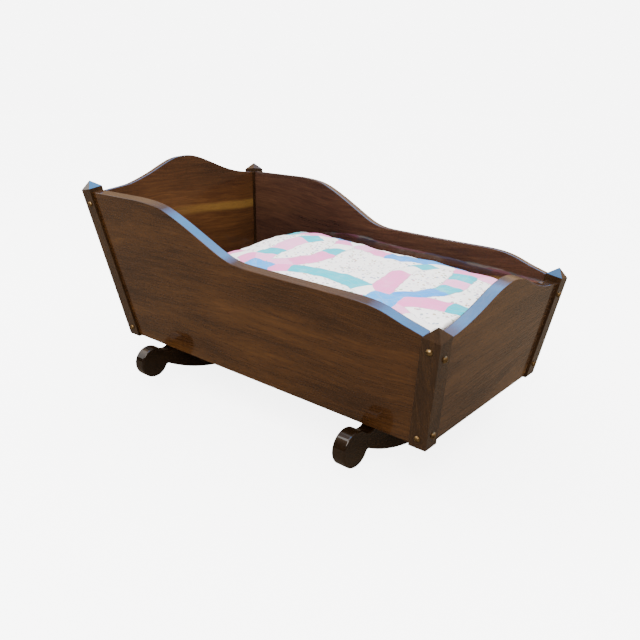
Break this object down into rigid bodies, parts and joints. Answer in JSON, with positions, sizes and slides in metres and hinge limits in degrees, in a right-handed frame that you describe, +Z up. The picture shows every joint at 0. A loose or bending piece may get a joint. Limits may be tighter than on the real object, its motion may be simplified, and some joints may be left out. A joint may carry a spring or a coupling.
{
  "type": "baby cradle",
  "caption": "Wooden baby cradle on two rockers: splayed board sides with shaped rims, square corner posts with pyramid caps, a mattress and a folded patchwork quilt.",
  "frame": {"origin": "on the floor, under the middle of the cradle's overall length and width", "axes": "+Z up, +X towards the foot end, -Y towards the near side"},
  "size_m": [0.8816, 0.5254, 0.4746],
  "materials": {
    "walnut_boards": "glossy varnish over dark walnut",
    "walnut_posts": "glossy varnish over dark walnut",
    "plain_boards": "unvarnished, lightly stained",
    "dark_rockers": "very dark glossy varnish",
    "aged_brass": "aged, softly polished",
    "screw_steel": "dull",
    "mattress_ticking": "striped cotton ticking",
    "quilt_cotton": "hand-quilted cotton patchwork"
  },
  "bodies": {
    "cradle": {"near_head_post": "walnut_posts", "near_foot_post": "walnut_posts", "far_head_post": "walnut_posts", "far_foot_post": "walnut_posts", "near_side_panel": "walnut_boards", "far_side_panel": "walnut_boards", "head_panel": "walnut_boards", "foot_panel": "walnut_boards", "near_floor_plank": "plain_boards", "middle_floor_plank": "plain_boards", "far_floor_plank": "plain_boards", "near_cleat": "plain_boards", "far_cleat": "plain_boards", "head_cleat": "plain_boards", "foot_cleat": "plain_boards", "head_rocker": "dark_rockers", "foot_rocker": "dark_rockers", "near_head_post_screws": "aged_brass", "near_foot_post_screws": "aged_brass", "far_head_post_screws": "aged_brass", "far_foot_post_screws": "aged_brass", "cleat_screws": "screw_steel", "plank_screws": "screw_steel", "rocker_screws": "screw_steel"},
    "mattress": {"mattress": "mattress_ticking"},
    "quilt": {"quilt": "quilt_cotton"}
  },
  "joints": [
    {"name": "mattress_lift", "type": "slide", "parent": "cradle", "child": "mattress", "axis": [0, 0, 1], "range_m": [0, 0.4]},
    {"name": "quilt_lift", "type": "slide", "parent": "mattress", "child": "quilt", "axis": [0, 0, 1], "range_m": [0, 0.3]}
  ]
}
